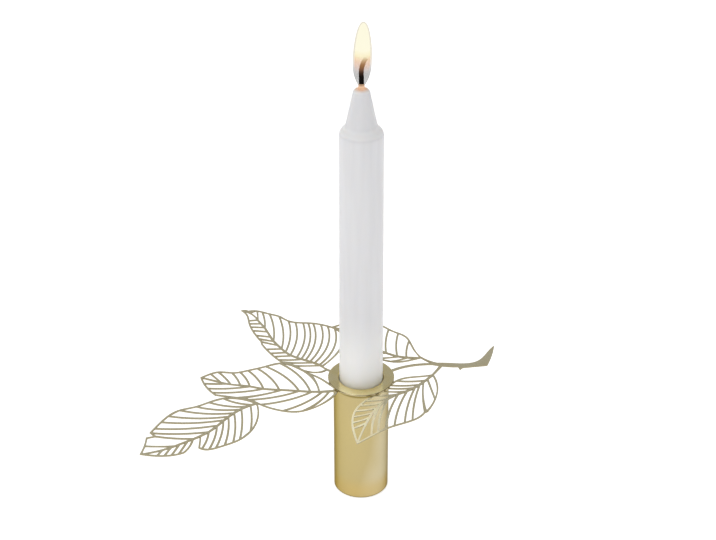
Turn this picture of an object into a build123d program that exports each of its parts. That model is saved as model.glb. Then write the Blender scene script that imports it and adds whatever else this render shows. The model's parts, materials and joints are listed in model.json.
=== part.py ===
"""Candle ring: an etched brass branch held under a candle cup's flange, on a weighted tube stand."""
import os
from math import ceil, floor

from build123d import *

# Candle, in millimetres
CANDLE_FOOT_DIAMETER = 22.0
CANDLE_SHOULDER_DIAMETER = 21.0
CANDLE_SHANK = 156.6            # foot to shoulder
CANDLE_FOOT_CHAMFER = 0.8
SHOULDER_RISE = 3.0             # height of the sloping ledge at the top of the shank
SHOULDER_CHAMFER = 1.3
NOSE_FOOT_DIAMETER = 15.2
NOSE_TOP_DIAMETER = 7.6
NOSE_HEIGHT = 18.3              # cone above the ledge
NOSE_DOME = 1.2
NOSE_CHAMFER = 1.3
WICK_DIAMETER = 2.2
WICK_STRAIGHT = 6.0             # bare wick that stands upright above the wax
WICK_BEND_RADIUS = 16.0
WICK_BEND_ANGLE = 30.0
WICK_CLEARANCE = 0.05

# Candle cup and its flange
CUP_WALL = 1.1
CUP_FLOOR = 1.2
CUP_DEPTH = 20.0
CUP_LIP_CHAMFER = 0.4
CUP_FOOT_CHAMFER = 0.6
CANDLE_CLEARANCE = 0.3          # radial, candle in cup
FLANGE_THICKNESS = 1.0
FLANGE_OVERHANG = 2.7           # beyond the tube's outside
FLANGE_CHAMFER = 0.25

# Stand
TUBE_WALL = 1.5
TUBE_LENGTH = 65.2
TUBE_EDGE_CHAMFER = 0.3
CUP_CLEARANCE = 0.1             # radial, cup in tube
CUP_TO_BALLAST = 14.0
BALLAST_CHAMFER = 0.8
BALLAST_CLEARANCE = 0.05        # radial, ballast and pad in tube
PAD_THICKNESS = 1.5
PAD_PROUD = 0.3                 # the pad stands this far below the tube's foot

# Etched sheet
SHEET_THICKNESS = 0.5
EYE_CLEARANCE = 0.1             # radial, sheet round cup
EYE_RIM = 3.0
BRANCH_REACH = 121.8            # from the axis to the farthest leaf's tip
EDGE_WIDTH = 0.92
VEIN_WIDTH = 1.05
RIB_FOOT_WIDTH = 1.4
RIB_TIP_WIDTH = 1.05
STEM_WIDTH = 1.7
LEAST_OPENING = 0.5             # an opening has no shorter side than this
STRAIGHT_WITHIN = 0.3           # a side that bends less than this is drawn straight
MOST_RISE = 0.25                # and so is a short side whose rise is more than this share of its length
FOLLOW_WITHIN = 0.2             # a longer side that strays this far from the outline is halved
SMOOTH_CORNER = 0.08            # sine of the turn below which two sides count as one smooth line

# Diameters that follow from the candle outwards
cup_bore_radius = CANDLE_FOOT_DIAMETER / 2 + CANDLE_CLEARANCE
cup_radius = cup_bore_radius + CUP_WALL
tube_bore_radius = cup_radius + CUP_CLEARANCE
tube_radius = tube_bore_radius + TUBE_WALL
flange_radius = tube_radius + FLANGE_OVERHANG
eye_radius = cup_radius + EYE_CLEARANCE
rim_radius = eye_radius + EYE_RIM
ballast_radius = tube_bore_radius - BALLAST_CLEARANCE

# Heights above the table
tube_top = PAD_PROUD + TUBE_LENGTH
flange_bottom = tube_top + SHEET_THICKNESS
flange_top = flange_bottom + FLANGE_THICKNESS
candle_foot = flange_top - CUP_DEPTH
cup_bottom = candle_foot - CUP_FLOOR
shoulder_height = candle_foot + CANDLE_SHANK
nose_foot = shoulder_height + SHOULDER_RISE
nose_shoulder = nose_foot + NOSE_HEIGHT
wax_top = nose_shoulder + NOSE_DOME


def turned(*points):
    """Solid of revolution about the axis, from radius and height points."""
    outline = Polyline(*[(radius, 0, height) for radius, height in points], close=True)
    return revolve(make_face(outline), Axis.Z)


def circles_at(solid, radius, height):
    """Circular edges of a turned solid with this radius at this height."""
    edges = solid.edges().filter_by(GeomType.CIRCLE)
    return [e for e in edges if abs(e.radius - radius) < 0.01 and abs(e.arc_center.Z - height) < 0.01]


def make_tube():
    tube = turned(
        (tube_bore_radius, PAD_PROUD),
        (tube_radius, PAD_PROUD),
        (tube_radius, tube_top),
        (tube_bore_radius, tube_top),
    )
    rims = circles_at(tube, tube_radius, PAD_PROUD) + circles_at(tube, tube_radius, tube_top)
    return chamfer(rims, TUBE_EDGE_CHAMFER)


def make_pad():
    return Pos(0, 0, PAD_THICKNESS / 2) * Cylinder(ballast_radius, PAD_THICKNESS)


def make_ballast():
    height = cup_bottom - CUP_TO_BALLAST - PAD_THICKNESS
    slug = Pos(0, 0, PAD_THICKNESS + height / 2) * Cylinder(ballast_radius, height)
    leading_edge = slug.edges().filter_by(GeomType.CIRCLE).sort_by(Axis.Z)[-1]
    return chamfer(leading_edge, BALLAST_CHAMFER)


def make_cup():
    cup = turned(
        (0, cup_bottom),
        (cup_radius, cup_bottom),
        (cup_radius, flange_bottom),
        (flange_radius, flange_bottom),
        (flange_radius, flange_top),
        (cup_bore_radius, flange_top),
        (cup_bore_radius, candle_foot),
        (0, candle_foot),
    )
    cup = chamfer(circles_at(cup, cup_bore_radius, flange_top), CUP_LIP_CHAMFER)
    rim = circles_at(cup, flange_radius, flange_top) + circles_at(cup, flange_radius, flange_bottom)
    cup = chamfer(rim, FLANGE_CHAMFER)
    return chamfer(circles_at(cup, cup_radius, cup_bottom), CUP_FOOT_CHAMFER)


def make_candle():
    foot_radius = CANDLE_FOOT_DIAMETER / 2
    shoulder_radius = CANDLE_SHOULDER_DIAMETER / 2
    nose_radius = NOSE_TOP_DIAMETER / 2
    wax = turned(
        (0, candle_foot),
        (foot_radius, candle_foot),
        (shoulder_radius, shoulder_height),
        (NOSE_FOOT_DIAMETER / 2, nose_foot),
        (nose_radius, nose_shoulder),
        (0, wax_top),
    )
    wax = chamfer(circles_at(wax, foot_radius, candle_foot), CANDLE_FOOT_CHAMFER)
    wax = chamfer(circles_at(wax, shoulder_radius, shoulder_height), SHOULDER_CHAMFER)
    wax = chamfer(circles_at(wax, nose_radius, nose_shoulder), NOSE_CHAMFER)
    bore_radius = WICK_DIAMETER / 2 + WICK_CLEARANCE
    bore_height = wax_top - candle_foot
    return wax - Pos(0, 0, candle_foot + bore_height / 2) * Cylinder(bore_radius, 2 * bore_height)


def make_wick():
    upright = Line((0, 0, candle_foot), (0, 0, wax_top + WICK_STRAIGHT))
    centre = upright @ 1 + (WICK_BEND_RADIUS, 0, 0)
    bend = Plane(centre, x_dir=(-1, 0, 0), z_dir=(0, 1, 0)) * CenterArc(
        (0, 0), WICK_BEND_RADIUS, 0, WICK_BEND_ANGLE
    )
    path = Wire([upright, bend])
    return sweep(Plane(upright @ 0, z_dir=upright % 0) * Circle(WICK_DIAMETER / 2), path=path)


# Etched sheet: every leaf is drawn from above, round the candle's axis

def stations(first, last, count):
    """Evenly spaced positions, both ends included."""
    step = (last - first) / (count - 1)
    return [first + step * i for i in range(count)]


def chain_point(pieces, position):
    """Point on a chain of edges: the whole part counts the edges, the rest is the share of one."""
    index = min(floor(position), len(pieces) - 1)
    return pieces[index] @ (position - index)


def placed(point):
    """Point of the branch's drawing, set out from the axis by the real rim and reach.

    The drawing itself has its eye's rim 15.5 and its farthest tip 121.8 from the axis.
    """
    drawn = Vector(*point)
    share = (drawn.length - 15.5) / (121.8 - 15.5)
    return drawn.normalized() * (rim_radius + (BRANCH_REACH - rim_radius) * share)


def drawn_line(points):
    """Smooth line through points of the drawing, or the straight one between two of them."""
    places = [placed(point) for point in points]
    return Spline(*places) if len(places) > 2 else Line(*places)


def across(a, b):
    """Unit vector square to the line from a to b."""
    along = (b - a).normalized()
    return Vector(-along.Y, along.X)


def closed_up(sides, short):
    """Sides of a cell without a short one, whose neighbours meet at its middle."""
    meeting = sides[short][1]
    kept = [*sides[short + 1:], *sides[:short]]
    kept[0] = (meeting, *kept[0][1:])
    kept[-1] = (*kept[-1][:2], meeting, kept[-1][3])
    return kept


def opening(sides):
    """Etched opening from the sides of one cell, each side (start, middle, end, inset).

    Each side is drawn in by its inset. A short side of a cell with many is closed up. Where too little is
    left, the metal stays and None comes back.
    """
    count = len(sides)
    centre = sum((middle for _, middle, _, _ in sides), Vector()) / count
    swept = sum((start - centre).cross(end - centre).Z for start, _, end, _ in sides)
    turn = 1 if swept > 0 else -1
    controls = [middle * 2 - (start + end) / 2 for start, middle, end, _ in sides]
    corners = []
    for i, (start, _, _, inset) in enumerate(sides):
        back = (controls[i - 1] - start).normalized()
        ahead = (controls[i] - start).normalized()
        spread = turn * ahead.cross(back).Z
        if abs(spread) < SMOOTH_CORNER:
            corners.append(start + across(start, controls[i]) * turn * inset)
        else:
            corners.append(start + (back * inset + ahead * sides[i - 1][3]) / spread)
    edges = []
    for i, (start, _, end, inset) in enumerate(sides):
        a = corners[i]
        b = corners[(i + 1) % count]
        span = end - start
        if (b - a).dot(span) < LEAST_OPENING * span.length:
            return opening(closed_up(sides, i)) if count > 4 else None
        share = ((a + b) / 2 - start).dot(span) / span.dot(span)
        middle = start * (1 - share) ** 2 + controls[i] * 2 * share * (1 - share) + end * share ** 2
        drawn_in = middle + across(start, end) * turn * inset
        rise = (drawn_in - (a + b) / 2).length
        if STRAIGHT_WITHIN < rise < MOST_RISE * (b - a).length:
            edges.append(ThreePointArc(a, drawn_in, b))
        else:
            edges.append(Line(a, b))
    return make_face(edges)


def rib_half_width(position):
    return (RIB_FOOT_WIDTH + (RIB_TIP_WIDTH - RIB_FOOT_WIDTH) * position) / 2


def rib_side(rib, first, last):
    middle = (first + last) / 2
    return rib @ first, rib @ middle, rib @ last, rib_half_width(middle)


def vein_side(foot, head, bow):
    middle = (foot + head) / 2 + across(foot, head) * bow * (head - foot).length
    return foot, middle, head, VEIN_WIDTH / 2


def reverse(side):
    start, middle, end, inset = side
    return end, middle, start, inset


def follow(piece, first, last):
    """Sides along one piece of the outline, halved until they keep to it."""
    half = (first + last) / 2
    start, middle, end = piece @ first, piece @ half, piece @ last
    control = middle * 2 - (start + end) / 2
    quarter = start * 0.5625 + control * 0.375 + end * 0.0625
    strayed = (piece @ ((first + half) / 2) - quarter).dot(across(start, end))
    if abs(strayed) > FOLLOW_WITHIN:
        return follow(piece, first, half) + follow(piece, half, last)
    return [(start, middle, end, EDGE_WIDTH)]


def edge_sides(pieces, first, last):
    """Sides along the outline between two positions, parted at the outline's corners."""
    stops = [first] + list(range(floor(first) + 1, ceil(last))) + [last]
    sides = []
    for a, b in zip(stops, stops[1:]):
        piece = pieces[min(floor(a), len(pieces) - 1)]
        share = floor(a)
        sides += follow(piece, a - share, b - share)
    return sides


def lobe_openings(rib, lobe, pieces):
    """Openings of one lobe: cells between its veins, from where it leaves the rib to where it returns."""
    bows = stations(*lobe["bow"], len(lobe["feet"]))
    veins = []
    for foot, head, bow in zip(lobe["feet"], lobe["heads"], bows):
        veins.append(vein_side(rib @ foot, chain_point(pieces, head), bow))
    feet = [lobe["rib"][0], *lobe["feet"], lobe["rib"][1]]
    heads = [0, *lobe["heads"], len(pieces)]
    cells = []
    for i in range(len(veins) + 1):
        edges = edge_sides(pieces, heads[i], heads[i + 1])
        if i == 0:
            edges[0] = (rib @ feet[0], *edges[0][1:])
        if i == len(veins):
            edges[-1] = (*edges[-1][:2], rib @ feet[-1], EDGE_WIDTH)
        before = veins[i - 1:i]
        after = veins[i:i + 1]
        sides = [rib_side(rib, feet[i], feet[i + 1]), *after]
        sides += [reverse(side) for side in [*before, *edges][::-1]]
        cells.append(opening(sides))
    return [cell for cell in cells if cell is not None]


def leaf(rib_points, *sides):
    """Face of one leaf: each side of the rib is a list of lobes, drawn from the leaf's foot to its tip."""
    rib = drawn_line(rib_points)
    outline = []
    holes = []
    for side in sides:
        chain = []
        for lobe in side:
            pieces = [drawn_line(points) for points in lobe["edges"]]
            if chain and (chain[-1] @ 1 - pieces[0] @ 0).length > 0:
                chain.append(Line(chain[-1] @ 1, pieces[0] @ 0))
            chain += pieces
            if "feet" in lobe:
                holes += lobe_openings(rib, lobe, pieces)
        outline += chain
    return make_face(outline) - holes


def strip(points, first_width, last_width):
    """Tapering strip of metal along a smooth line."""
    line = drawn_line(points)
    shares = stations(0, 1, len(points))
    halves = stations(first_width / 2, last_width / 2, len(points))
    left = []
    right = []
    for share, half in zip(shares, halves):
        along = line % share
        square = Vector(-along.Y, along.X)
        left.append(line @ share + square * half)
        right.append(line @ share - square * half)
    sides = [Spline(*left), Line(left[-1], right[-1]), Spline(*reversed(right)), Line(right[0], left[0])]
    return make_face(sides)


def low_leaf():
    foot = (-51.0, -21.7)
    tip = (-104.4, -62.8)
    point = (-101.6, -45.9)
    notch = (-99.3, -48.5)
    barb = (-102.9, -49.7)
    heel = (-77.2, -57.8)
    toe = (-83.4, -61.7)
    upper = {
        "edges": [
            [foot, (-56.8, -18.4), (-69.5, -17.4), (-81.5, -24.2), (-89.4, -27.3), (-97.3, -37.0), point],
            [point, notch],
            [notch, barb],
            [barb, (-103.2, -56.5), tip],
        ],
        "rib": (0, 1),
        "feet": [0.04, 0.085, 0.14, 0.20, 0.254, 0.305, 0.38, 0.476, 0.60, 0.75],
        "heads": [0.29, 0.41, 0.52, 0.65, 0.76, 0.85, 0.94, 1, 2, 3.5],
        "bow": (0.08, 0.03),
    }
    lower = {
        "edges": [
            [foot, (-49.8, -33.0), (-51.9, -42.8), (-57.7, -51.5), (-66.0, -56.8), (-73.5, -59.4), heel],
            [heel, (-77.2, -49.6)],
        ],
        "rib": (0, 0.555),
        "feet": [0.055, 0.132, 0.20, 0.26, 0.315, 0.39, 0.475],
        "heads": [0.457, 0.60, 0.67, 0.753, 0.838, 0.90, 0.965],
        "bow": (0.03, 0.05),
    }
    tail = {
        "edges": [
            [(-79.8, -51.3), (-80.9, -56.6), toe],
            [toe, (-88.5, -63.7), (-95.5, -64.3), tip],
        ],
        "rib": (0.605, 1),
        "feet": stations(0.65, 0.84, 4),
        "heads": stations(1.14, 1.62, 4),
        "bow": (0, 0),
    }
    rib = [foot, (-58.9, -26.5), (-67.0, -36.3), (-73.4, -45.3), (-80.3, -50.8), (-91.0, -57.8), tip]
    return leaf(rib, [upper], [lower, tail])


def middle_leaf():
    foot = (-11.0, -10.4)
    tip = (-81.1, 0.6)
    bend = (-72.5, -15.0)
    upper = {
        "edges": [
            [
                foot, (-14.5, -6.2), (-22.0, 1.6), (-29.8, 7.1), (-34.0, 11.0), (-40.6, 13.8),
                (-49.6, 10.5), (-57.9, 7.1), (-64.0, 5.2), (-72.5, 5.8), (-78.2, 2.9), tip,
            ],
        ],
        "rib": (0, 1),
        "feet": [0.139, 0.20, 0.278, 0.417, 0.528, 0.629, 0.697, 0.765, 0.84],
        "heads": [0.311, 0.486, 0.58, 0.634, 0.694, 0.744, 0.795, 0.88, 0.93],
        "bow": (-0.09, -0.03),
    }
    lower = {
        "edges": [
            [
                foot, (-13.5, -16.0), (-21.0, -24.1), (-31.4, -29.1), (-40.2, -27.8), (-49.6, -23.1),
                (-54.3, -19.8), (-63.6, -16.9), bend,
            ],
            [bend, (-77.7, -8.0), tip],
        ],
        "rib": (0, 1),
        "feet": [0.07, 0.118, 0.188, 0.278, 0.40, 0.528, 0.626, 0.80],
        "heads": [0.375, 0.502, 0.672, 0.78, 0.875, 1.19, 1.43, 1.70],
        "bow": (0.08, 0.04),
    }
    rib = [
        foot, (-24.0, -11.8), (-39.7, -10.2), (-48.4, -9.4), (-57.0, -6.8), (-66.0, -5.4), (-73.0, -2.6),
        tip,
    ]
    return leaf(rib, [upper], [lower])


def high_leaf():
    foot = (-17.0, 7.6)
    tip = (-64.5, 63.4)
    corner = (-15.2, 47.4)
    fork = (-19.3, 10.4)
    bulge = (-9.4, 30.0)
    neck = (-60.4, 63.2)
    touch = (-41.4, 14.6)
    step = (-51.9, 30.5)
    ledge = (-52.6, 33.6)
    right = {
        "edges": [
            [fork, (-15.2, 16.5), (-11.8, 22.5), bulge],
            [bulge, (-8.8, 37.0), (-10.5, 42.4), corner],
            [
                corner, (-20.1, 49.8), (-26.9, 51.6), (-35.1, 52.3), (-38.9, 54.0), (-43.0, 57.8),
                (-49.6, 60.9), (-56.0, 63.6), neck,
            ],
        ],
        "rib": (0.05, 0.93),
        "feet": [0.08, 0.12, 0.155, 0.19, 0.222, 0.258, 0.311, 0.361, 0.41, 0.522, 0.70, 0.813],
        "heads": [1.93, 2.06, 2.14, 2.226, 2.28, 2.335, 2.417, 2.50, 2.644, 2.758, 2.848, 2.906],
        "bow": (-0.11, -0.03),
    }
    stem = {"edges": [[foot, fork]]}
    point = {"edges": [[neck, (-62.5, 64.0), tip]]}
    left = {
        "edges": [
            [foot, (-20.5, 5.0), (-25.5, 5.0), (-29.6, 6.6), (-33.8, 10.4), (-38.0, 12.9), touch],
            [touch, (-47.3, 22.4), step],
            [step, ledge],
            [ledge, (-56.4, 41.0), (-59.8, 51.0), (-61.4, 58.7), tip],
        ],
        "rib": (0, 1),
        "feet": [0.07, 0.13, 0.215, 0.30, 0.355, 0.41, 0.463, 0.52, 0.58, 0.65, 0.708, 0.763, 0.817],
        "heads": [0.75, 1, 1.14, 1.33, 1.52, 1.75, 3, 3.1, 3.21, 3.36, 3.47, 3.57, 3.66],
        "bow": (0.04, 0.04),
    }
    rib = [
        foot, (-24.6, 14.0), (-31.0, 17.4), (-36.4, 20.8), (-41.9, 27.8), (-46.5, 35.5), (-50.0, 44.6),
        (-55.0, 54.1), (-60.3, 61.8), tip,
    ]
    return leaf(rib, [stem, right, point], [left])


def back_leaf():
    foot = (31.5, 18.2)
    tip = (-16.0, 47.2)
    upper = {
        "edges": [
            [
                foot, (28.6, 23.6), (26.2, 32.0), (23.3, 38.8), (17.0, 43.6), (11.1, 49.1), (3.0, 53.0),
                (-5.0, 52.8), (-11.7, 49.6), tip,
            ],
        ],
        "rib": (0, 1),
        "feet": [0.142, 0.225, 0.337, 0.453, 0.571, 0.70, 0.82],
        "heads": [0.263, 0.398, 0.49, 0.624, 0.738, 0.828, 0.903],
        "bow": (0.04, 0.04),
    }
    lower = {
        "edges": [
            [
                foot, (25.9, 15.9), (19.1, 14.1), (11.5, 15.8), (3.0, 20.5), (-3.0, 27.0), (-7.3, 35.0),
                (-11.3, 42.6), tip,
            ],
        ],
        "rib": (0, 1),
        "feet": [0.13, 0.21, 0.336, 0.483, 0.631],
        "heads": [0.285, 0.42, 0.546, 0.652, 0.757],
        "bow": (0.06, 0.06),
    }
    rib = [foot, (24.0, 18.5), (18.0, 20.0), (12.0, 23.5), (3.6, 30.8), (-4.6, 40.2), tip]
    return leaf(rib, [upper], [lower])


def front_leaf():
    foot = (36.5, 3.5)
    tip = (-2.0, -54.8)
    step = (32.7, -28.7)
    ledge = (31.2, -29.8)
    right = {
        "edges": [
            [foot, (38.6, -6.8), (37.0, -18.2), step],
            [step, ledge],
            [ledge, (26.7, -35.0), (20.0, -38.7), (14.2, -41.6), (6.0, -47.8), tip],
        ],
        "rib": (0, 1),
        "feet": [0.072, 0.118, 0.157, 0.205, 0.277, 0.35, 0.443, 0.53],
        "heads": [0.68, 2, 2.217, 2.32, 2.452, 2.57, 2.68, 2.78],
        "bow": (-0.02, -0.05),
    }
    left = {
        "edges": [
            [
                foot, (28.2, 1.7), (21.4, 0.3), (16.8, -2.6), (13.0, -7.5), (8.5, -12.3), (2.0, -19.0),
                (-2.6, -26.0), (-4.6, -34.0), (-4.4, -43.0), tip,
            ],
        ],
        "rib": (0, 1),
        "feet": [0.093, 0.16, 0.217, 0.285, 0.355, 0.443, 0.503, 0.57, 0.635, 0.695, 0.76],
        "heads": [0.254, 0.315, 0.354, 0.40, 0.463, 0.543, 0.60, 0.664, 0.727, 0.787, 0.845],
        "bow": (0.05, 0.05),
    }
    rib = [foot, (31.6, -3.0), (23.7, -10.6), (15.3, -16.0), (9.0, -23.5), (4.2, -33.0), (0.8, -44.0), tip]
    return leaf(rib, [right], [left])


def twig():
    """Solid twig with a slanting cut end and a bud scar on its underside."""
    fork = (33.0, 13.0)
    tip = (69.2, 29.4)
    heel = (64.4, 11.2)
    scar = (51.8, 9.2)
    bud = (50.2, 7.3)
    axil = (49.4, 9.9)
    outline = [
        [fork, (39.6, 13.7), (47.2, 13.3), (54.1, 13.2), (58.5, 14.6), (64.0, 21.3), tip],
        [tip, (67.4, 20.5), heel],
        [heel, (58.6, 10.3), scar],
        [scar, bud],
        [bud, axil],
        [axil, (44.2, 10.1), (38.0, 11.4), fork],
    ]
    return make_face([drawn_line(points) for points in outline])


def sheet_faces():
    stems = [
        strip([(13.0, 4.6), (19.1, 8.8), (26.0, 11.4), (40.0, 12.4)], STEM_WIDTH, RIB_FOOT_WIDTH),
        strip([(41.0, 11.5), (38.9, 7.6), (36.0, 2.6)], STEM_WIDTH, RIB_TIP_WIDTH),
        strip([(40.0, 12.4), (35.1, 14.8), (30.6, 18.9)], STEM_WIDTH, EDGE_WIDTH),
        strip([(-12.5, 5.0), (-15.5, 6.4), (-18.5, 8.8)], STEM_WIDTH, EDGE_WIDTH),
    ]
    leaves = [low_leaf(), middle_leaf(), high_leaf(), back_leaf(), front_leaf()]
    return [*leaves, twig(), *stems]


def make_sheet():
    branch = Circle(rim_radius) + sheet_faces() - Circle(eye_radius)
    return Pos(0, 0, tube_top) * extrude(branch, SHEET_THICKNESS)


if __name__ == "__main__":
    os.makedirs("parts", exist_ok=True)
    solids = {
        "stand_tube": make_tube(),
        "felt_pad": make_pad(),
        "ballast_slug": make_ballast(),
        "socket_cup": make_cup(),
        "candle_body": make_candle(),
        "candle_wick": make_wick(),
        "leaf_ring": make_sheet(),
    }
    for name, solid in solids.items():
        export_step(solid, f"parts/{name}.step")
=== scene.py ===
"""Looks of the candle ring: a lit candle in a brass cup and tube, and a brass leaf branch.

The branch is an etched sheet, held between the cup's flange and the tube's rim. Sizes are in
metres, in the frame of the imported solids: +Z runs up the candle and the table top is z = 0.
"""

import json
from math import cos, pi, radians, sin

import bmesh
import bpy
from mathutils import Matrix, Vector, noise

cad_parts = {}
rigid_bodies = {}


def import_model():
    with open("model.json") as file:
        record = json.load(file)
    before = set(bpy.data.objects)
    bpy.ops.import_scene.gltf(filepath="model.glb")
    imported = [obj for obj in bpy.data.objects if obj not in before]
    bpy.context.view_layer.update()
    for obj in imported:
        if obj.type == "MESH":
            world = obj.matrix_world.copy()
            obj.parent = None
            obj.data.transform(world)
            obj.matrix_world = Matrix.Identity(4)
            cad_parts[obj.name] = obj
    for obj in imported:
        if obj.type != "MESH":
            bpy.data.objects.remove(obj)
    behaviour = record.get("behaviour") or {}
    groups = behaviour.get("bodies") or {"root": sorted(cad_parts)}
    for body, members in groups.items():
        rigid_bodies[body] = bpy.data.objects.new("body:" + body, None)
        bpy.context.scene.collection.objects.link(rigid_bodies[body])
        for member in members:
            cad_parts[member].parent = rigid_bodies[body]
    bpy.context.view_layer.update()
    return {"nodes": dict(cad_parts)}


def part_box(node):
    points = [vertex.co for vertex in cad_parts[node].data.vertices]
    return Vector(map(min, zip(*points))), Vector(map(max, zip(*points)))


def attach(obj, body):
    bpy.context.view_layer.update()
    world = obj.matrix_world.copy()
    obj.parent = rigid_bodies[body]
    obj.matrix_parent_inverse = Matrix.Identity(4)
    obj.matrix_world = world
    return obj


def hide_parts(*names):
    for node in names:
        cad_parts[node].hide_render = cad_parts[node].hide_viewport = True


MM = 0.001

for leftover in list(bpy.data.objects):
    bpy.data.objects.remove(leftover)

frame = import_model()

pad_low, pad_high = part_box("felt_pad")
tube_low, tube_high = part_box("stand_tube")
cup_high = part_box("socket_cup")[1]
wick_low, wick_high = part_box("candle_wick")
wax_low, wax_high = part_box("candle_body")

# Candle: a tapering shank, a sloping ledge, a nose and a crown, and how far each edge is cut back
SHOULDER_RADIUS = 10.5 * MM
SHOULDER_HEIGHT = wax_low[2] + 156.6 * MM
NOSE_FOOT_RADIUS = 7.6 * MM
NOSE_FOOT_HEIGHT = SHOULDER_HEIGHT + 3.0 * MM
NOSE_TOP_RADIUS = 3.8 * MM
NOSE_TOP_HEIGHT = NOSE_FOOT_HEIGHT + 18.3 * MM
CROWN_HEIGHT = wax_high[2] + 0.35 * MM
FOOT_CUT = 0.9 * MM
LEDGE_CUT = 1.8 * MM
CROWN_CUT = 1.7 * MM

# Wick: strands that twist together and thin out where they are burnt
STRANDS = 3
WICK_WIDTH = 2.2 * MM
STRAND_RADIUS = 0.32 * WICK_WIDTH
LAY_RADIUS = 0.28 * WICK_WIDTH
TWIST_LENGTH = 3.6 * MM
BURNT_SHARE = 0.62
WICK_BEND = wax_high[2] + 2.0 * MM
WICK_TIP = Vector((wick_high[0] - 1.2 * MM, 0, wick_high[2] - 0.6 * MM))
WICK_TIP_LEAN = radians(30)

# Flame: a mantle of thin gas round a bright core
FLAME_WIDTH = 8.8 * MM
FLAME_LEAN = 0.9 * MM
FLAME_FOOT = wax_high[2] + 0.3 * MM
FLAME_TOP = wick_high[2] + 17.15 * MM
CORE_WIDTH = 0.82 * FLAME_WIDTH
CORE_FOOT = FLAME_FOOT + 1.2 * MM
CORE_TOP = FLAME_TOP - 0.6 * MM

# Cup and felt pad
FLANGE_THICKNESS = 1.0 * MM
PAD_EDGE = 0.5 * MM
PILE_WIDTH = 0.8 * MM
PILE_SINK = 0.12

# Table and camera; the camera's tilt was found from the round rims in the photo
TABLE_HALF = 60.0
CAMERA_PLACE = (-0.00156, -0.6717, 0.5330)
CAMERA_TILT = radians(59)
CAMERA_LENS = 81.45


# Helpers

def linear(code):
    """Linear RGBA of an sRGB hex colour."""
    parts = [int(code[i:i + 2], 16) / 255 for i in (1, 3, 5)]
    return [c / 12.92 if c <= 0.04045 else ((c + 0.055) / 1.055) ** 2.4 for c in parts] + [1.0]


def add(tree, kind, inputs=None, stops=None, **settings):
    """Add a node with its settings, set or link its inputs, and colour its ramp's stops."""
    made = tree.nodes.new(kind)
    for name, value in settings.items():
        setattr(made, name, value)
    for key, value in (inputs or {}).items():
        socket = made.inputs[key]
        if isinstance(value, bpy.types.NodeSocket):
            tree.links.new(value, socket)
        else:
            socket.default_value = value
    for i, (position, code) in enumerate(stops or []):
        elements = made.color_ramp.elements
        stop = elements[i] if i < len(elements) else elements.new(position)
        stop.position = position
        stop.color = linear(code)
    return made


def new_finish(name):
    """An empty material and its node tree."""
    material = bpy.data.materials.new(name)
    material.use_nodes = True
    material.node_tree.nodes.clear()
    return material, material.node_tree


def put_in_scene(name, data):
    """A new object at the origin that shows the data."""
    holder = bpy.data.objects.new(name, data)
    bpy.context.scene.collection.objects.link(holder)
    return holder


# Finishes

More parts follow.
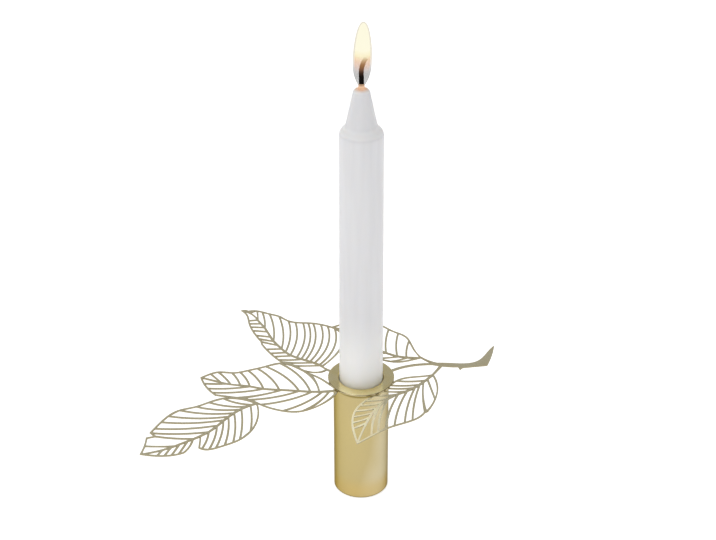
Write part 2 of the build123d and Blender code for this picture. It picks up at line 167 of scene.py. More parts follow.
def drawn_brass():
    """Drawn brass tube under satin lacquer: pale gold, soft reflections pulled out along it."""
    material, tree = new_finish("drawn_brass_satin_lacquer")
    place = add(tree, "ShaderNodeTexCoord").outputs["Object"]
    parts = add(tree, "ShaderNodeSeparateXYZ", {"Vector": place})
    # Drawing lines are about 0.05 mm apart; they are drawn 0.4 mm apart so that they show
    along = add(tree, "ShaderNodeMapping", {"Vector": place, "Scale": (1, 1, 0.02)})
    lines = add(
        tree, "ShaderNodeTexNoise",
        {"Vector": along.outputs[0], "Scale": 2500, "Detail": 2},
    )
    # Lacquer of uneven thickness, in clouds about 30 mm across, and a painted reflection that makes
    # it paler towards +X
    clouds = add(tree, "ShaderNodeTexNoise", {"Vector": place, "Scale": 33, "Detail": 1})
    cloud_share = 0.5
    painted_paler_right = add(
        tree, "ShaderNodeMapRange",
        {
            "Value": parts.outputs["X"],
            "From Min": tube_low[0],
            "From Max": tube_high[0],
            "To Min": -0.05,
            "To Max": 0.55,
        },
    )
    # Painted reflection: a paler, greyer tone towards +X, added to the lacquer clouds
    lacquer = add(
        tree, "ShaderNodeMath",
        {0: clouds.outputs["Fac"], 1: cloud_share, 2: painted_paler_right.outputs[0]},
        operation="MULTIPLY_ADD",
    )
    colour = add(
        tree, "ShaderNodeValToRGB", {"Fac": lacquer.outputs[0]},
        stops=[(0.25, "#B9A976"), (0.5, "#B5A576"), (0.8, "#C8BEA0")],
    )
    # The tube is yellower over the lowest 14 mm
    low_down = add(
        tree, "ShaderNodeMapRange",
        {
            "Value": parts.outputs["Z"],
            "From Min": tube_low[2] + 14 * MM,
            "From Max": tube_low[2] + 4 * MM,
            "To Max": 0.6,
        },
        interpolation_type="SMOOTHSTEP",
    )
    yellower_foot = add(
        tree, "ShaderNodeMix",
        {"Factor": low_down.outputs[0], "A": colour.outputs["Color"], "B": linear("#C0A767")},
        data_type="RGBA",
    )
    # Painted shadow in a narrow line under the cup's flange, and a darker line along the foot's
    # edge
    flange_shadow = add(
        tree, "ShaderNodeMapRange",
        {
            "Value": parts.outputs["Z"],
            "From Min": tube_high[2] - 2.8 * MM,
            "From Max": tube_high[2] - 1.5 * MM,
        },
        interpolation_type="SMOOTHSTEP",
    )
    foot_edge = add(
        tree, "ShaderNodeMapRange",
        {
            "Value": parts.outputs["Z"],
            "From Min": tube_low[2] + 1.1 * MM,
            "From Max": tube_low[2] + 0.3 * MM,
        },
        interpolation_type="SMOOTHSTEP",
    )
    flange_shadow_and_foot_line = add(
        tree, "ShaderNodeMath",
        {0: flange_shadow.outputs[0], 1: foot_edge.outputs[0]},
        operation="MAXIMUM",
    )
    toned = add(
        tree, "ShaderNodeMix",
        {"Factor": flange_shadow_and_foot_line.outputs[0], "A": yellower_foot.outputs["Result"], "B": linear("#85753F")},
        data_type="RGBA",
    )
    rough = add(
        tree, "ShaderNodeMapRange",
        {"Value": lines.outputs["Fac"], "To Min": 0.14, "To Max": 0.30},
    )
    relief = add(
        tree, "ShaderNodeBump",
        {"Height": lines.outputs["Fac"], "Strength": 0.08, "Distance": 0.03 * MM},
    )
    shader = add(tree, "ShaderNodeBsdfPrincipled", {
        "Base Color": toned.outputs["Result"],
        "Metallic": 1.0,
        "Roughness": rough.outputs[0],
        "Specular Tint": linear("#A79E86"),
        "Normal": relief.outputs[0],
        "Coat Weight": 0.06,
        "Coat Roughness": 0.12,
    })
    add(tree, "ShaderNodeOutputMaterial", {"Surface": shader.outputs[0]})
    return material


def turned_brass():
    """Brass turned on a lathe: a polished yellow flange with faint rings, a duller body below."""
    material, tree = new_finish("turned_brass_polished")
    place = add(tree, "ShaderNodeTexCoord").outputs["Object"]
    flat = add(tree, "ShaderNodeVectorMath", {0: place, 1: (1, 1, 0)}, operation="MULTIPLY")
    radius = add(tree, "ShaderNodeVectorMath", {0: flat.outputs[0]}, operation="LENGTH")
    height = add(tree, "ShaderNodeSeparateXYZ", {"Vector": place})
    # Tool marks are about 0.05 mm apart; they are drawn 0.3 mm apart so that they show
    feed = add(
        tree, "ShaderNodeMath",
        {0: radius.outputs["Value"], 1: height.outputs["Z"]},
        operation="ADD",
    )
    rings = add(
        tree, "ShaderNodeTexNoise",
        {"W": feed.outputs[0], "Scale": 3300, "Detail": 2},
        noise_dimensions="1D",
    )
    # Handling marks, about 6 mm across
    smears = add(tree, "ShaderNodeTexNoise", {"Vector": place, "Scale": 160, "Detail": 3})
    colour = add(
        tree, "ShaderNodeValToRGB", {"Fac": smears.outputs["Fac"]},
        stops=[(0.35, "#FCECAE"), (0.65, "#FFF3C0")],
    )
    # Painted shade: the flange's edge is browner and darker, which dims its bright reflection
    at_edge = add(
        tree, "ShaderNodeMapRange",
        {
            "Value": radius.outputs["Value"],
            "From Min": cup_high[0] - 0.35 * MM,
            "From Max": cup_high[0] - 0.1 * MM,
        },
    )
    toned = add(
        tree, "ShaderNodeMix",
        {"Factor": at_edge.outputs[0], "A": colour.outputs["Color"], "B": linear("#A89C78")},
        data_type="RGBA",
    )
    # Under the flange the cup is left as turned, and is duller and rougher
    unpolished = add(
        tree, "ShaderNodeMapRange",
        {
            "Value": height.outputs["Z"],
            "From Min": cup_high[2] - FLANGE_THICKNESS,
            "From Max": cup_high[2] - FLANGE_THICKNESS - 0.3 * MM,
        },
    )
    whole = add(
        tree, "ShaderNodeMix",
        {"Factor": unpolished.outputs[0], "A": toned.outputs["Result"], "B": linear("#B3A06C")},
        data_type="RGBA",
    )
    polished = add(
        tree, "ShaderNodeMapRange",
        {"Value": rings.outputs["Fac"], "To Min": 0.12, "To Max": 0.22},
    )
    extra_roughness = 0.14
    coarse = add(
        tree, "ShaderNodeMath",
        {0: unpolished.outputs[0], 1: extra_roughness},
        operation="MULTIPLY",
    )
    rough = add(
        tree, "ShaderNodeMath",
        {0: polished.outputs[0], 1: coarse.outputs[0]},
        operation="ADD",
    )
    relief = add(
        tree, "ShaderNodeBump",
        {"Height": rings.outputs["Fac"], "Strength": 0.08, "Distance": 0.03 * MM},
    )
    shader = add(tree, "ShaderNodeBsdfPrincipled", {
        "Base Color": whole.outputs["Result"],
        "Metallic": 1.0,
        "Roughness": rough.outputs[0],
        "Normal": relief.outputs[0],
        "Coat Weight": 0.1,
        "Coat Roughness": 0.06,
    })
    add(tree, "ShaderNodeOutputMaterial", {"Surface": shader.outputs[0]})
    return material


def etched_brass():
    """Thin rolled brass sheet, cut out by etching: bright rolled faces, browner pitted walls."""
    material, tree = new_finish("etched_sheet_brass")
    place = add(tree, "ShaderNodeTexCoord").outputs["Object"]
    facing = add(tree, "ShaderNodeNewGeometry")
    upright = add(tree, "ShaderNodeSeparateXYZ", {"Vector": facing.outputs["Normal"]})
    level = add(tree, "ShaderNodeMath", {0: upright.outputs["Z"]}, operation="ABSOLUTE")
    on_face = add(
        tree, "ShaderNodeMapRange",
        {"Value": level.outputs[0], "From Min": 0.4, "From Max": 0.8},
        interpolation_type="SMOOTHSTEP",
    )
    # Acid pits are under 0.05 mm; they are drawn 0.25 mm wide so that they show
    pits = add(tree, "ShaderNodeTexNoise", {"Vector": place, "Scale": 4000, "Detail": 3})
    # Tarnish in patches about 15 mm across
    tarnish = add(tree, "ShaderNodeTexNoise", {"Vector": place, "Scale": 65, "Detail": 3})
    face = add(
        tree, "ShaderNodeValToRGB", {"Fac": tarnish.outputs["Fac"]},
        stops=[(0.35, "#FBEFC5"), (0.65, "#FEF7D3")],
    )
    wall = add(
        tree, "ShaderNodeValToRGB", {"Fac": pits.outputs["Fac"]},
        stops=[(0.3, "#8F8568"), (0.7, "#B3A988")],
    )
    colour = add(
        tree, "ShaderNodeMix",
        {"Factor": on_face.outputs[0], "A": wall.outputs["Color"], "B": face.outputs["Color"]},
        data_type="RGBA",
    )
    dull = add(
        tree, "ShaderNodeMapRange",
        {"Value": on_face.outputs[0], "To Min": 0.2, "To Max": 0.0},
    )
    grain = add(
        tree, "ShaderNodeMapRange",
        {"Value": pits.outputs["Fac"], "To Min": 0.12, "To Max": 0.26},
    )
    rough = add(
        tree, "ShaderNodeMath",
        {0: grain.outputs[0], 1: dull.outputs[0]},
        operation="ADD",
    )
    relief = add(
        tree, "ShaderNodeBump",
        {"Height": pits.outputs["Fac"], "Strength": 0.12, "Distance": 0.03 * MM},
    )
    shader = add(tree, "ShaderNodeBsdfPrincipled", {
        "Base Color": colour.outputs["Result"],
        "Metallic": 1.0,
        "Roughness": rough.outputs[0],
        "Normal": relief.outputs[0],
    })
    add(tree, "ShaderNodeOutputMaterial", {"Surface": shader.outputs[0]})
    return material


def candle_wax():
    """Moulded stearin wax: milky, softly translucent, faintly streaked, warm near the flame."""
    material, tree = new_finish("moulded_stearin_wax")
    place = add(tree, "ShaderNodeTexCoord").outputs["Object"]
    height = add(tree, "ShaderNodeSeparateXYZ", {"Vector": place})
    # Streaks of the mould, about 3 mm wide and 50 mm long
    along = add(tree, "ShaderNodeMapping", {"Vector": place, "Scale": (1, 1, 0.06)})
    streaks = add(
        tree, "ShaderNodeTexNoise",
        {"Vector": along.outputs[0], "Scale": 330, "Detail": 2},
    )
    milk = add(
        tree, "ShaderNodeValToRGB", {"Fac": streaks.outputs["Fac"]},
        stops=[(0.3, "#E2E2E4"), (0.7, "#E7E7E9")],
    )
    # Painted light: the wax is whiter towards the foot, filling the shade there from the cup and
    # the leaves
    low_down = add(
        tree, "ShaderNodeMapRange",
        {
            "Value": height.outputs["Z"],
            "From Min": cup_high[2] + 45 * MM,
            "From Max": cup_high[2] + 5 * MM,
        },
        interpolation_type="SMOOTHSTEP",
    )
    gas_cover_and_lit_foot = add(
        tree, "ShaderNodeMix",
        {"Factor": low_down.outputs[0], "A": milk.outputs["Color"], "B": linear("#FBFBFA")},
        data_type="RGBA",
    )
    # Painted light: the wax is whiter where it faces up, on the ledge and the crown
    facing = add(tree, "ShaderNodeNewGeometry")
    upright = add(tree, "ShaderNodeSeparateXYZ", {"Vector": facing.outputs["Normal"]})
    on_ledge = add(
        tree, "ShaderNodeMapRange",
        {"Value": upright.outputs["Z"], "From Min": 0.25, "From Max": 0.6},
        interpolation_type="SMOOTHSTEP",
    )
    lit_from_above = add(
        tree, "ShaderNodeMix",
        {"Factor": on_ledge.outputs[0], "A": gas_cover_and_lit_foot.outputs["Result"], "B": linear("#F6F6F7")},
        data_type="RGBA",
    )
    # Painted light: a faint warm ring, over 4.5 mm above and below the cup's lip, for the light the
    # brass throws back on the wax
    from_lip = add(
        tree, "ShaderNodeMath",
        {0: height.outputs["Z"], 1: cup_high[2]},
        operation="SUBTRACT",
    )
    apart = add(tree, "ShaderNodeMath", {0: from_lip.outputs[0]}, operation="ABSOLUTE")
    near_lip = add(
        tree, "ShaderNodeMapRange",
        {"Value": apart.outputs[0], "From Min": 4.5 * MM, "From Max": 0.0, "To Max": 0.3},
        interpolation_type="SMOOTHSTEP",
    )
    brass_bounce_light = add(
        tree, "ShaderNodeMix",
        {"Factor": near_lip.outputs[0], "A": lit_from_above.outputs["Result"], "B": linear("#F4EEDC")},
        data_type="RGBA",
    )
    # The flame shines into the wax for 4.4 mm round the wick's foot
    wick_foot = add(
        tree, "ShaderNodeVectorMath",
        {0: place, 1: (0, 0, wax_high[2])},
        operation="DISTANCE",
    )
    glow = add(
        tree, "ShaderNodeMapRange",
        {"Value": wick_foot.outputs["Value"], "From Min": 4.4 * MM, "From Max": 1.4 * MM},
        interpolation_type="SMOOTHERSTEP",
    )
    colour = add(
        tree, "ShaderNodeMix",
        {"Factor": glow.outputs[0], "A": brass_bounce_light.outputs["Result"], "B": linear("#F4D2BA")},
        data_type="RGBA",
    )
    glow_strength = 0.13
    shine = add(
        tree, "ShaderNodeMath",
        {0: glow.outputs[0], 1: glow_strength},
        operation="MULTIPLY",
    )
    # Bloom on the cooled surface, about 1.2 mm across
    bloom = add(tree, "ShaderNodeTexNoise", {"Vector": place, "Scale": 850, "Detail": 3})
    rough = add(
        tree, "ShaderNodeMapRange",
        {"Value": bloom.outputs["Fac"], "To Min": 0.34, "To Max": 0.52},
    )
    relief = add(
        tree, "ShaderNodeBump",
        {"Height": bloom.outputs["Fac"], "Strength": 0.10, "Distance": 0.05 * MM},
    )
    shader = add(tree, "ShaderNodeBsdfPrincipled", {
        "Base Color": colour.outputs["Result"],
        "Roughness": rough.outputs[0],
        "IOR": 1.44,
        "Subsurface Weight": 0.3,
        "Subsurface Radius": (1.0, 0.85, 0.7),
        "Subsurface Scale": 3 * MM,
        "Normal": relief.outputs[0],
        "Emission Color": linear("#FFC48A"),
        "Emission Strength": shine.outputs[0],
    })
    add(tree, "ShaderNodeOutputMaterial", {"Surface": shader.outputs[0]})
    return material


def molten_wax():
    """Wax melted by the flame: a wet, shiny skin, with a painted warm tint and glow for the flame's
    light.
    """
    material, tree = new_finish("molten_stearin_wax")
    place = add(tree, "ShaderNodeTexCoord").outputs["Object"]
    # Ripples about 1 mm across
    ripples = add(tree, "ShaderNodeTexNoise", {"Vector": place, "Scale": 1000, "Detail": 1})
    # Painted light: the peach colour stands for the flame's light on the molten wax
    colour = add(
        tree, "ShaderNodeValToRGB", {"Fac": ripples.outputs["Fac"]},
        stops=[(0.3, "#EAB995"), (0.7, "#F4CEAE")],
    )
    relief = add(
        tree, "ShaderNodeBump",
        {"Height": ripples.outputs["Fac"], "Strength": 0.1, "Distance": 0.05 * MM},
    )
    shader = add(tree, "ShaderNodeBsdfPrincipled", {
        "Base Color": colour.outputs["Color"],
        "Roughness": 0.06,
        "IOR": 1.44,
        "Normal": relief.outputs[0],
        # Painted glow of the flame's light on the molten wax
        "Emission Color": linear("#FFC48A"),
        "Emission Strength": 0.14,
    })
    add(tree, "ShaderNodeOutputMaterial", {"Surface": shader.outputs[0]})
    return material


def charred_cotton():
    """Braided cotton wick: cream in the candle, burnt black above it, brown at its tip."""
    material, tree = new_finish("charred_cotton_braid")
    place = add(tree, "ShaderNodeTexCoord").outputs["Object"]
    height = add(tree, "ShaderNodeSeparateXYZ", {"Vector": place})
    # Burnt flakes about 0.4 mm across, which make each change of colour ragged over 2 mm
    flakes = add(tree, "ShaderNodeTexNoise", {"Vector": place, "Scale": 2500, "Detail": 3})
    ragged = add(
        tree, "ShaderNodeMath",
        {0: flakes.outputs["Fac"], 1: 2 * MM},
        operation="MULTIPLY",
    )
    level = add(
        tree, "ShaderNodeMath",
        {0: height.outputs["Z"], 1: ragged.outputs[0]},
        operation="ADD",
    )
    burnt = add(
        tree, "ShaderNodeMapRange",
        {
            "Value": level.outputs[0],
            "From Min": wax_high[2] - 3 * MM,
            "From Max": wick_high[2],
        },
    )
    colour = add(
        tree, "ShaderNodeValToRGB", {"Fac": burnt.outputs[0]},
        stops=[
            (0.0, "#D9CDB4"), (0.14, "#050302"), (0.55, "#080503"), (0.8, "#1E1008"),
            (1.0, "#4A2A12"),
        ],
    )
    ember = add(
        tree, "ShaderNodeMapRange",
        {"Value": burnt.outputs[0], "From Min": 0.7, "From Max": 1.0, "To Max": 0.1},
    )
    relief = add(
        tree, "ShaderNodeBump",
        {"Height": flakes.outputs["Fac"], "Strength": 0.5, "Distance": 0.15 * MM},
    )
    shader = add(tree, "ShaderNodeBsdfPrincipled", {
        "Base Color": colour.outputs["Color"],
        "Roughness": 0.85,
        "Specular IOR Level": 0.12,
        "Normal": relief.outputs[0],
        "Emission Color": linear("#C4551A"),
        "Emission Strength": ember.outputs[0],
    })
    add(tree, "ShaderNodeOutputMaterial", {"Surface": shader.outputs[0]})
    return material


def pressed_felt():
    """Pressed wool felt: dark brown, matte, fibres lying every way, a soft sheen at its rim."""
    material, tree = new_finish("pressed_wool_felt")
    place = add(tree, "ShaderNodeTexCoord").outputs["Object"]
    # Fibres are 0.03 mm thick; they are drawn 0.2 mm thick so that they show
    fibres = add(
        tree, "ShaderNodeTexNoise",
        {"Vector": place, "Scale": 5000, "Detail": 4, "Distortion": 1.5},
    )
    # Denser and looser places about 4 mm across
    mats = add(tree, "ShaderNodeTexNoise", {"Vector": place, "Scale": 250, "Detail": 2})
    mixed = add(
        tree, "ShaderNodeMath",
        {0: fibres.outputs["Fac"], 1: mats.outputs["Fac"]},
        operation="MULTIPLY",
    )
    colour = add(
        tree, "ShaderNodeValToRGB", {"Fac": mixed.outputs[0]},
        stops=[(0.12, "#241D17"), (0.42, "#55483B")],
    )
    relief = add(
        tree, "ShaderNodeBump",
        {"Height": fibres.outputs["Fac"], "Strength": 0.6, "Distance": 0.1 * MM},
    )
    shader = add(tree, "ShaderNodeBsdfPrincipled", {
        "Base Color": colour.outputs["Color"],
        "Roughness": 0.95,
        "Normal": relief.outputs[0],
        "Sheen Weight": 0.4,
        "Sheen Roughness": 0.5,
    })
    add(tree, "ShaderNodeOutputMaterial", {"Surface": shader.outputs[0]})
    return material


def turned_steel():
    """Bare turned steel: grey, with the lathe's feed marks and a little brown rust bloom."""
    material, tree = new_finish("turned_mild_steel")
    place = add(tree, "ShaderNodeTexCoord").outputs["Object"]
    flat = add(tree, "ShaderNodeVectorMath", {0: place, 1: (1, 1, 0)}, operation="MULTIPLY")
    radius = add(tree, "ShaderNodeVectorMath", {0: flat.outputs[0]}, operation="LENGTH")
    height = add(tree, "ShaderNodeSeparateXYZ", {"Vector": place})
    # Feed marks 0.3 mm apart
    feed = add(
        tree, "ShaderNodeMath",
        {0: radius.outputs["Value"], 1: height.outputs["Z"]},
        operation="ADD",
    )
    marks = add(
        tree, "ShaderNodeTexNoise",
        {"W": feed.outputs[0], "Scale": 3300, "Detail": 2},
        noise_dimensions="1D",
    )
    # Rust bloom in patches about 5 mm across
    rust = add(tree, "ShaderNodeTexNoise", {"Vector": place, "Scale": 200, "Detail": 4})
    colour = add(
        tree, "ShaderNodeValToRGB", {"Fac": rust.outputs["Fac"]},
        stops=[(0.4, "#8A8A8C"), (0.75, "#6F6257")],
    )
    rough = add(
        tree, "ShaderNodeMapRange",
        {"Value": marks.outputs["Fac"], "To Min": 0.28, "To Max": 0.5},
    )
    relief = add(
        tree, "ShaderNodeBump",
        {"Height": marks.outputs["Fac"], "Strength": 0.2, "Distance": 0.05 * MM},
    )
    shader = add(tree, "ShaderNodeBsdfPrincipled", {
        "Base Color": colour.outputs["Color"],
        "Metallic": 1.0,
        "Roughness": rough.outputs[0],
        "Normal": relief.outputs[0],
    })
    add(tree, "ShaderNodeOutputMaterial", {"Surface": shader.outputs[0]})
    return material


def burning_gas(name, strength, colours, cover):
    """Burning wax vapour: glowing and see-through, its colour and cover changing with height."""
    material, tree = new_finish(name)
    place = add(tree, "ShaderNodeTexCoord").outputs["Object"]
    height = add(tree, "ShaderNodeSeparateXYZ", {"Vector": place})
    rise = add(
        tree, "ShaderNodeMapRange",
        {"Value": height.outputs["Z"], "From Min": FLAME_FOOT, "From Max": FLAME_TOP},
    )
    colour = add(tree, "ShaderNodeValToRGB", {"Fac": rise.outputs[0]}, stops=colours)
    gas_cover_and_lit_foot = add(tree, "ShaderNodeValToRGB", {"Fac": rise.outputs[0]}, stops=cover)
    glow = add(
        tree, "ShaderNodeEmission",
        {"Color": colour.outputs["Color"], "Strength": strength},
    )
    clear = add(tree, "ShaderNodeBsdfTransparent")
    mixed = add(
        tree, "ShaderNodeMixShader",
        {0: gas_cover_and_lit_foot.outputs["Color"], 1: clear.outputs[0], 2: glow.outputs[0]},
    )
    add(tree, "ShaderNodeOutputMaterial", {"Surface": mixed.outputs[0]})
    return material


def pale_table():
    """Matte white laminate, lit a little from within: the photo's floor is white and shadowless."""
    material, tree = new_finish("matte_white_laminate")
    place = add(tree, "ShaderNodeTexCoord").outputs["Object"]
    # Speckle about 1 mm across
    speckle = add(tree, "ShaderNodeTexNoise", {"Vector": place, "Scale": 900, "Detail": 2})
    colour = add(
        tree, "ShaderNodeValToRGB", {"Fac": speckle.outputs["Fac"]},
        stops=[(0.3, "#F6F6F5"), (0.7, "#FAFAF9")],
    )
    shader = add(tree, "ShaderNodeBsdfPrincipled", {
        "Base Color": colour.outputs["Color"],
        "Roughness": 0.7,
        "Emission Color": linear("#FFFFFF"),
        "Emission Strength": 0.66,
    })
    add(tree, "ShaderNodeOutputMaterial", {"Surface": shader.outputs[0]})
    return material


# Pieces

def dress(node_name, material):
    """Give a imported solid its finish."""
    slots = frame["nodes"][node_name].data.materials
    slots.clear()
    slots.append(material)


def turn(name, profile, material, segments=96, closed=False):
    """A closed surface turned round the candle's axis from (radius, height) points.

    An open profile begins and ends on the axis; a closed one is a loop that stays off it.
    """
    form = bmesh.new()
    angles = [2 * pi * i / segments for i in range(segments)]
    rings = []
    for radius, height in profile:
        if radius == 0:
            rings.append([form.verts.new((0, 0, height))])
            continue
        around = [(radius * cos(angle), radius * sin(angle), height) for angle in angles]
        rings.append([form.verts.new(point) for point in around])
    pairs = list(zip(rings, rings[1:]))
    if closed:
        pairs.append((rings[-1], rings[0]))
    for low, high in pairs:
        for i in range(segments):
            j = (i + 1) % segments
            corners = [
                low[i % len(low)], low[j % len(low)], high[j % len(high)], high[i % len(high)],
            ]
            form.faces.new(list(dict.fromkeys(corners)))
    bmesh.ops.recalc_face_normals(form, faces=form.faces)
    for face in form.faces:
        face.smooth = True
    mesh = bpy.data.meshes.new(name)
    form.to_mesh(mesh)
    form.free()
    mesh.materials.append(material)
    return put_in_scene(name, mesh)


def soften(corners, cuts, steps=8):
    """A profile whose inner corners are each cut back by a length and bridged by a curve."""
    points = [Vector(c) for c in corners]
    softened = [points[0]]
    for before, corner, after, cut in zip(points, points[1:], points[2:], cuts):
        start = corner + (before - corner).normalized() * cut
        end = corner + (after - corner).normalized() * cut
        for step in range(steps + 1):
            share = step / steps
            way_in = start.lerp(corner, share)
            softened.append(way_in.lerp(corner.lerp(end, share), share))
    softened.append(points[-1])
    return [tuple(point) for point in softened]


def make_pad(material):
    """The felt disc, soft at its edges and uneven in its pile."""
    radius = pad_high[0]
    thick = pad_high[2] - pad_low[2]
    middle = pad_low[2] + thick / 2
    inner_shares = [0.2, 0.4, 0.6, 0.75, 0.86]
    edge_steps = 8
    profile = [(0, pad_low[2])]
    profile += [(radius * share, pad_low[2]) for share in inner_shares]
    for step in range(edge_steps + 1):
        angle = -pi / 2 + pi * step / edge_steps
        edge = radius - PAD_EDGE * (1 - cos(angle))
        profile.append((edge, pad_low[2] + thick * (0.5 + 0.5 * sin(angle))))
    profile += [(radius * share, pad_high[2]) for share in reversed(inner_shares)]
    profile.append((0, pad_high[2]))
    piece = turn("felt_disc", profile, material, segments=128)
    for vertex in piece.data.vertices:
        fluff = 0.5 + 0.5 * noise.noise(vertex.co / PILE_WIDTH)
        vertex.co.z += (middle - vertex.co.z) * PILE_SINK * fluff
    return piece


def make_candle(material):
    """The moulded candle with soft edges, its nose melted round at its top."""
    corners = [
        (0, wax_low[2]),
        (wax_high[0], wax_low[2]),
        (SHOULDER_RADIUS, SHOULDER_HEIGHT),
        (NOSE_FOOT_RADIUS, NOSE_FOOT_HEIGHT),
        (NOSE_TOP_RADIUS, NOSE_TOP_HEIGHT),
        (0, CROWN_HEIGHT),
    ]
    cuts = [FOOT_CUT, LEDGE_CUT, LEDGE_CUT, CROWN_CUT]
    return turn("moulded_candle", soften(corners, cuts), material, segments=128)


def braid_tree(material):
    """Strands that twist round a path, thinning where they are burnt away."""
    tree = bpy.data.node_groups.new("twisted_strands", "GeometryNodeTree")
    face = tree.interface
    face.new_socket("Geometry", in_out="INPUT", socket_type="NodeSocketGeometry")
    for label, kind in (
        ("Strands", "NodeSocketInt"),
        ("Twist length", "NodeSocketFloat"),
        ("Strand radius", "NodeSocketFloat"),
        ("Lay radius", "NodeSocketFloat"),
        ("Burnt from", "NodeSocketFloat"),
        ("Burnt to", "NodeSocketFloat"),
    ):
        face.new_socket(label, in_out="INPUT", socket_type=kind)
    face.new_socket("Geometry", in_out="OUTPUT", socket_type="NodeSocketGeometry")
    size = add(tree, "NodeGroupInput").outputs
    fine = add(
        tree, "GeometryNodeResampleCurve",
        {"Curve": size["Geometry"], "Length": 0.35 * MM},
        mode="LENGTH",
    )
    copies = add(
        tree, "GeometryNodeDuplicateElements",
        {"Geometry": fine.outputs[0], "Amount": size["Strands"]},
        domain="SPLINE",
    )
    # Each strand's angle round the path: its own share of a turn, and the twist so far
    along = add(tree, "GeometryNodeSplineParameter")
    turns = add(
        tree, "ShaderNodeMath",
        {0: along.outputs["Length"], 1: size["Twist length"]},
        operation="DIVIDE",
    )
    share = add(
        tree, "ShaderNodeMath",
        {0: copies.outputs["Duplicate Index"], 1: size["Strands"]},
        operation="DIVIDE",
    )
    both = add(
        tree, "ShaderNodeMath",
        {0: turns.outputs[0], 1: share.outputs[0]},
        operation="ADD",
    )
    angle = add(tree, "ShaderNodeMath", {0: both.outputs[0], 1: 2 * pi}, operation="MULTIPLY")
    side = add(tree, "ShaderNodeMath", {0: angle.outputs[0]}, operation="COSINE")
    front = add(tree, "ShaderNodeMath", {0: angle.outputs[0]}, operation="SINE")
    # The way out from the path at that angle
    normal = add(tree, "GeometryNodeInputNormal")
    tangent = add(tree, "GeometryNodeInputTangent")
    binormal = add(
        tree, "ShaderNodeVectorMath",
        {0: tangent.outputs[0], 1: normal.outputs[0]},
        operation="CROSS_PRODUCT",
    )
    out_side = add(
        tree, "ShaderNodeVectorMath",
        {0: normal.outputs[0], "Scale": side.outputs[0]},
        operation="SCALE",
    )
    out_front = add(
        tree, "ShaderNodeVectorMath",
        {0: binormal.outputs[0], "Scale": front.outputs[0]},
        operation="SCALE",
    )
    out = add(
        tree, "ShaderNodeVectorMath",
        {0: out_side.outputs[0], 1: out_front.outputs[0]},
        operation="ADD",
    )
    # How much of the cotton is left at each height
    place = add(tree, "GeometryNodeInputPosition")
    height = add(tree, "ShaderNodeSeparateXYZ", {"Vector": place.outputs[0]})
    thin = add(
        tree, "ShaderNodeMapRange",
        {
            "Value": height.outputs["Z"],
            "From Min": size["Burnt from"],
            "From Max": size["Burnt to"],
            "To Min": 1.0,
            "To Max": BURNT_SHARE,
        },
    )
    lay = add(
        tree, "ShaderNodeMath",
        {0: size["Lay radius"], 1: thin.outputs[0]},
        operation="MULTIPLY",
    )
    offset = add(
        tree, "ShaderNodeVectorMath",
        {0: out.outputs[0], "Scale": lay.outputs[0]},
        operation="SCALE",
    )
    girth = add(
        tree, "GeometryNodeSetCurveRadius",
        {"Curve": copies.outputs["Geometry"], "Radius": thin.outputs[0]},
    )
    moved = add(
        tree, "GeometryNodeSetPosition",
        {"Geometry": girth.outputs[0], "Offset": offset.outputs[0]},
    )
    outline = add(
        tree, "GeometryNodeCurvePrimitiveCircle",
        {"Resolution": 8, "Radius": size["Strand radius"]},
    )
    strands = add(
        tree, "GeometryNodeCurveToMesh",
        {"Curve": moved.outputs[0], "Profile Curve": outline.outputs[0], "Fill Caps": True},
    )
    smooth = add(tree, "GeometryNodeSetShadeSmooth", {"Geometry": strands.outputs[0]})
    whole = add(tree, "GeometryNodeRealizeInstances", {"Geometry": smooth.outputs[0]})
    finished = add(
        tree, "GeometryNodeSetMaterial",
        {"Geometry": whole.outputs[0], "Material": material},
    )
    add(tree, "NodeGroupOutput", {"Geometry": finished.outputs[0]})
    return tree


def make_wick(material):
    """The braided wick, upright in the wax and bent over above it."""
    line = bpy.data.curves.new("wick_line", "CURVE")
    line.dimensions = "3D"
    spline = line.splines.new("BEZIER")
    spline.bezier_points.add(2)
    # How far the curve runs straight on each side of its points
    low_arm = 20 * MM
    high_arm = (WICK_TIP.z - WICK_BEND) * 0.45
    stops = [
        (Vector((0, 0, wick_low[2])), Vector((0, 0, low_arm))),
        (Vector((0, 0, WICK_BEND)), Vector((0, 0, high_arm))),
        (WICK_TIP, Vector((high_arm * sin(WICK_TIP_LEAN), 0, high_arm * cos(WICK_TIP_LEAN)))),
    ]
    for point, (centre, arm) in zip(spline.bezier_points, stops):
        point.co = centre
        point.handle_left = centre - arm
        point.handle_right = centre + arm
    source = put_in_scene("wick_line", line)
    tree = braid_tree(material)
    layer = source.modifiers.new("braid", "NODES")
    layer.node_group = tree
    sizes = {
        "Strands": STRANDS,
        "Twist length": TWIST_LENGTH,
        "Strand radius": STRAND_RADIUS,
        "Lay radius": LAY_RADIUS,
        "Burnt from": wax_high[2],
        "Burnt to": wick_high[2],
    }
    for item in tree.interface.items_tree:
        if item.name in sizes:
            layer[item.identifier] = sizes[item.name]
    shown = source.evaluated_get(bpy.context.evaluated_depsgraph_get())
    mesh = bpy.data.meshes.new_from_object(shown)
    mesh.name = "wick_braid"
    bpy.data.objects.remove(source)
    return put_in_scene("wick_braid", mesh)


def make_melt(material):
    """The collar of molten wax that the wick draws up from the nose."""
    # Millimetres from the axis and above the wax
    loop = [
        (0.95, 2.3), (1.25, 2.15), (1.36, 1.6), (1.42, 1.1), (1.52, 0.6), (1.68, 0.28),
        (1.9, 0.02), (1.95, -0.2), (1.7, -0.3), (0.95, -0.2),
    ]
    profile = [(radius * MM, wax_high[2] + height * MM) for radius, height in loop]
    return turn("molten_collar", profile, material, segments=64, closed=True)


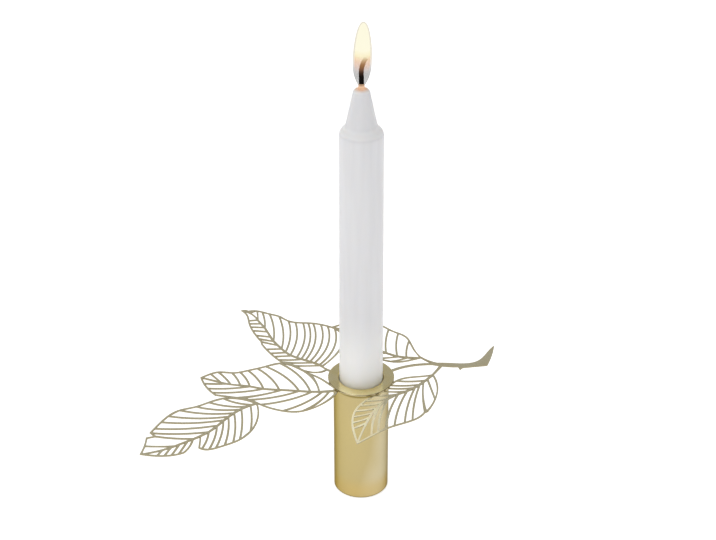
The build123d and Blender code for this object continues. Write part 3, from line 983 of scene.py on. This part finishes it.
def flame_profile(width, foot, top):
    """Half outline of a still flame: narrow at the wick, widest below the middle, blunt on top."""
    # Shares of the flame's height and of its half width
    shares = [
        (0, 0), (0.02, 0.29), (0.05, 0.43), (0.09, 0.57), (0.15, 0.74), (0.21, 0.86),
        (0.28, 0.95), (0.38, 1.0), (0.48, 0.99), (0.58, 0.96), (0.70, 0.87), (0.80, 0.75),
        (0.88, 0.61), (0.94, 0.46), (0.98, 0.28), (1, 0),
    ]
    return [(share * width / 2, foot + rise * (top - foot)) for rise, share in shares]


def make_flame(name, width, foot, top, material):
    """A flame that leans with its wick, more towards its top."""
    piece = turn(name, flame_profile(width, foot, top), material, segments=48)
    for vertex in piece.data.vertices:
        rise = (vertex.co.z - FLAME_FOOT) / (FLAME_TOP - FLAME_FOOT)
        vertex.co.x += FLAME_LEAN * rise
    smoother = piece.modifiers.new("rounding", "SUBSURF")
    smoother.levels = 2
    smoother.render_levels = 2
    return piece


dress("stand_tube", drawn_brass())
dress("socket_cup", turned_brass())
dress("leaf_ring", etched_brass())
dress("ballast_slug", turned_steel())

felt_disc = make_pad(pressed_felt())
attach(felt_disc, "stand")
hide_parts("felt_pad")

moulded_candle = make_candle(candle_wax())
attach(moulded_candle, "candle")
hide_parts("candle_body")

wick_braid = make_wick(charred_cotton())
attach(wick_braid, "candle")
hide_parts("candle_wick")

molten_collar = make_melt(molten_wax())
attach(molten_collar, "candle")

# Dark and thin round the wick, pale brown higher up where it edges the bright core
mantle_gas = burning_gas(
    "flame_outer_gas",
    strength=1.0,
    colours=[
        (0.0, "#1A1412"), (0.21, "#1E1816"), (0.27, "#382E2C"), (0.33, "#766860"),
        (0.39, "#AE966C"), (0.5, "#C8BD9C"), (1.0, "#C8BD9C"),
    ],
    cover=[
        (0.0, "#707070"), (0.09, "#989898"), (0.15, "#A0A0A0"), (0.21, "#9E9E9E"),
        (0.27, "#9A9A9A"), (0.33, "#8C8C8C"), (0.39, "#909090"), (0.5, "#A6A6A6"),
        (1.0, "#AAAAAA"),
    ],
)
# Clear at its foot, orange beside the wick, near white above it
core_gas = burning_gas(
    "flame_bright_gas",
    strength=1.26,
    colours=[
        (0.0, "#EE9A5C"), (0.39, "#EE9A5C"), (0.46, "#FAD4A4"), (0.51, "#FDF5CC"),
        (0.6, "#FFFEE9"), (1.0, "#FFFEE9"),
    ],
    cover=[
        (0.21, "#000000"), (0.27, "#3C3C3C"), (0.33, "#787878"), (0.4, "#888888"),
        (0.47, "#C4C4C4"), (0.52, "#EBEBEB"), (0.6, "#F9F9F9"),
    ],
)
flame_mantle = make_flame("flame_mantle", FLAME_WIDTH, FLAME_FOOT, FLAME_TOP, mantle_gas)
flame_core = make_flame("flame_core", CORE_WIDTH, CORE_FOOT, CORE_TOP, core_gas)
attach(flame_mantle, "candle")
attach(flame_core, "candle")


# Table, light and camera

def make_table():
    """A table top so wide that no view shows its edges."""
    mesh = bpy.data.meshes.new("table_top")
    corners = [(-1, -1), (1, -1), (1, 1), (-1, 1)]
    points = [(x * TABLE_HALF, y * TABLE_HALF, 0) for x, y in corners]
    mesh.from_pydata(points, [], [(0, 1, 2, 3)])
    mesh.materials.append(pale_table())
    table = put_in_scene("table_top", mesh)


def make_world():
    """White studio tent, brighter on the left, with a grey band that the flat brass mirrors."""
    world = bpy.data.worlds.new("studio_tent")
    bpy.context.scene.world = world
    world.use_nodes = True
    tree = world.node_tree
    tree.nodes.clear()
    ways = add(tree, "ShaderNodeTexCoord").outputs["Generated"]
    parts = add(tree, "ShaderNodeSeparateXYZ", {"Vector": ways})
    steep = add(tree, "ShaderNodeMath", {0: parts.outputs["Z"], 1: 2.0}, operation="POWER")
    roof = add(
        tree, "ShaderNodeMapRange",
        {"Value": steep.outputs[0], "To Min": 0.89, "To Max": 0.78},
    )
    left = add(
        tree, "ShaderNodeMapRange",
        {
            "Value": parts.outputs["X"],
            "From Min": -1.0,
            "From Max": 1.0,
            "To Min": 1.12,
            "To Max": 0.84,
        },
    )
    strength = add(
        tree, "ShaderNodeMath",
        {0: roof.outputs[0], 1: left.outputs[0]},
        operation="MULTIPLY",
    )
    # The band goes all round, from about 12 to 40 degrees up
    shade = add(
        tree, "ShaderNodeValToRGB", {"Fac": parts.outputs["Z"]},
        stops=[(0.06, "#FFFFFF"), (0.22, "#AEADAE"), (0.64, "#AEADAE"), (0.85, "#FFFFFF")],
    )
    light = add(
        tree, "ShaderNodeBackground",
        {"Color": shade.outputs["Color"], "Strength": strength.outputs[0]},
    )
    add(tree, "ShaderNodeOutputWorld", {"Surface": light.outputs[0]})


def make_light(name, place, target, size, power):
    """A round lamp that faces its target."""
    lamp = bpy.data.lights.new(name, "AREA")
    lamp.shape = "DISK"
    lamp.size = size
    lamp.energy = power
    holder = put_in_scene(name, lamp)
    holder.location = place
    holder.rotation_euler = (Vector(target) - Vector(place)).to_track_quat("-Z", "Y").to_euler()


def make_camera():
    """The photo's view: from the front, 31 degrees down."""
    view = bpy.data.cameras.new("camera")
    view.type = "PERSP"
    view.sensor_width = 36
    view.lens = CAMERA_LENS
    view.clip_start = 0.01
    holder = put_in_scene("camera", view)
    holder.location = CAMERA_PLACE
    holder.rotation_euler = (CAMERA_TILT, 0, 0)
    bpy.context.scene.camera = holder


make_table()
make_world()
make_light("tent_top", place=(-0.5, -0.4, 1.3), target=(0, 0, 0.05), size=0.9, power=2)
make_camera()
bpy.context.scene.view_settings.view_transform = "Standard"
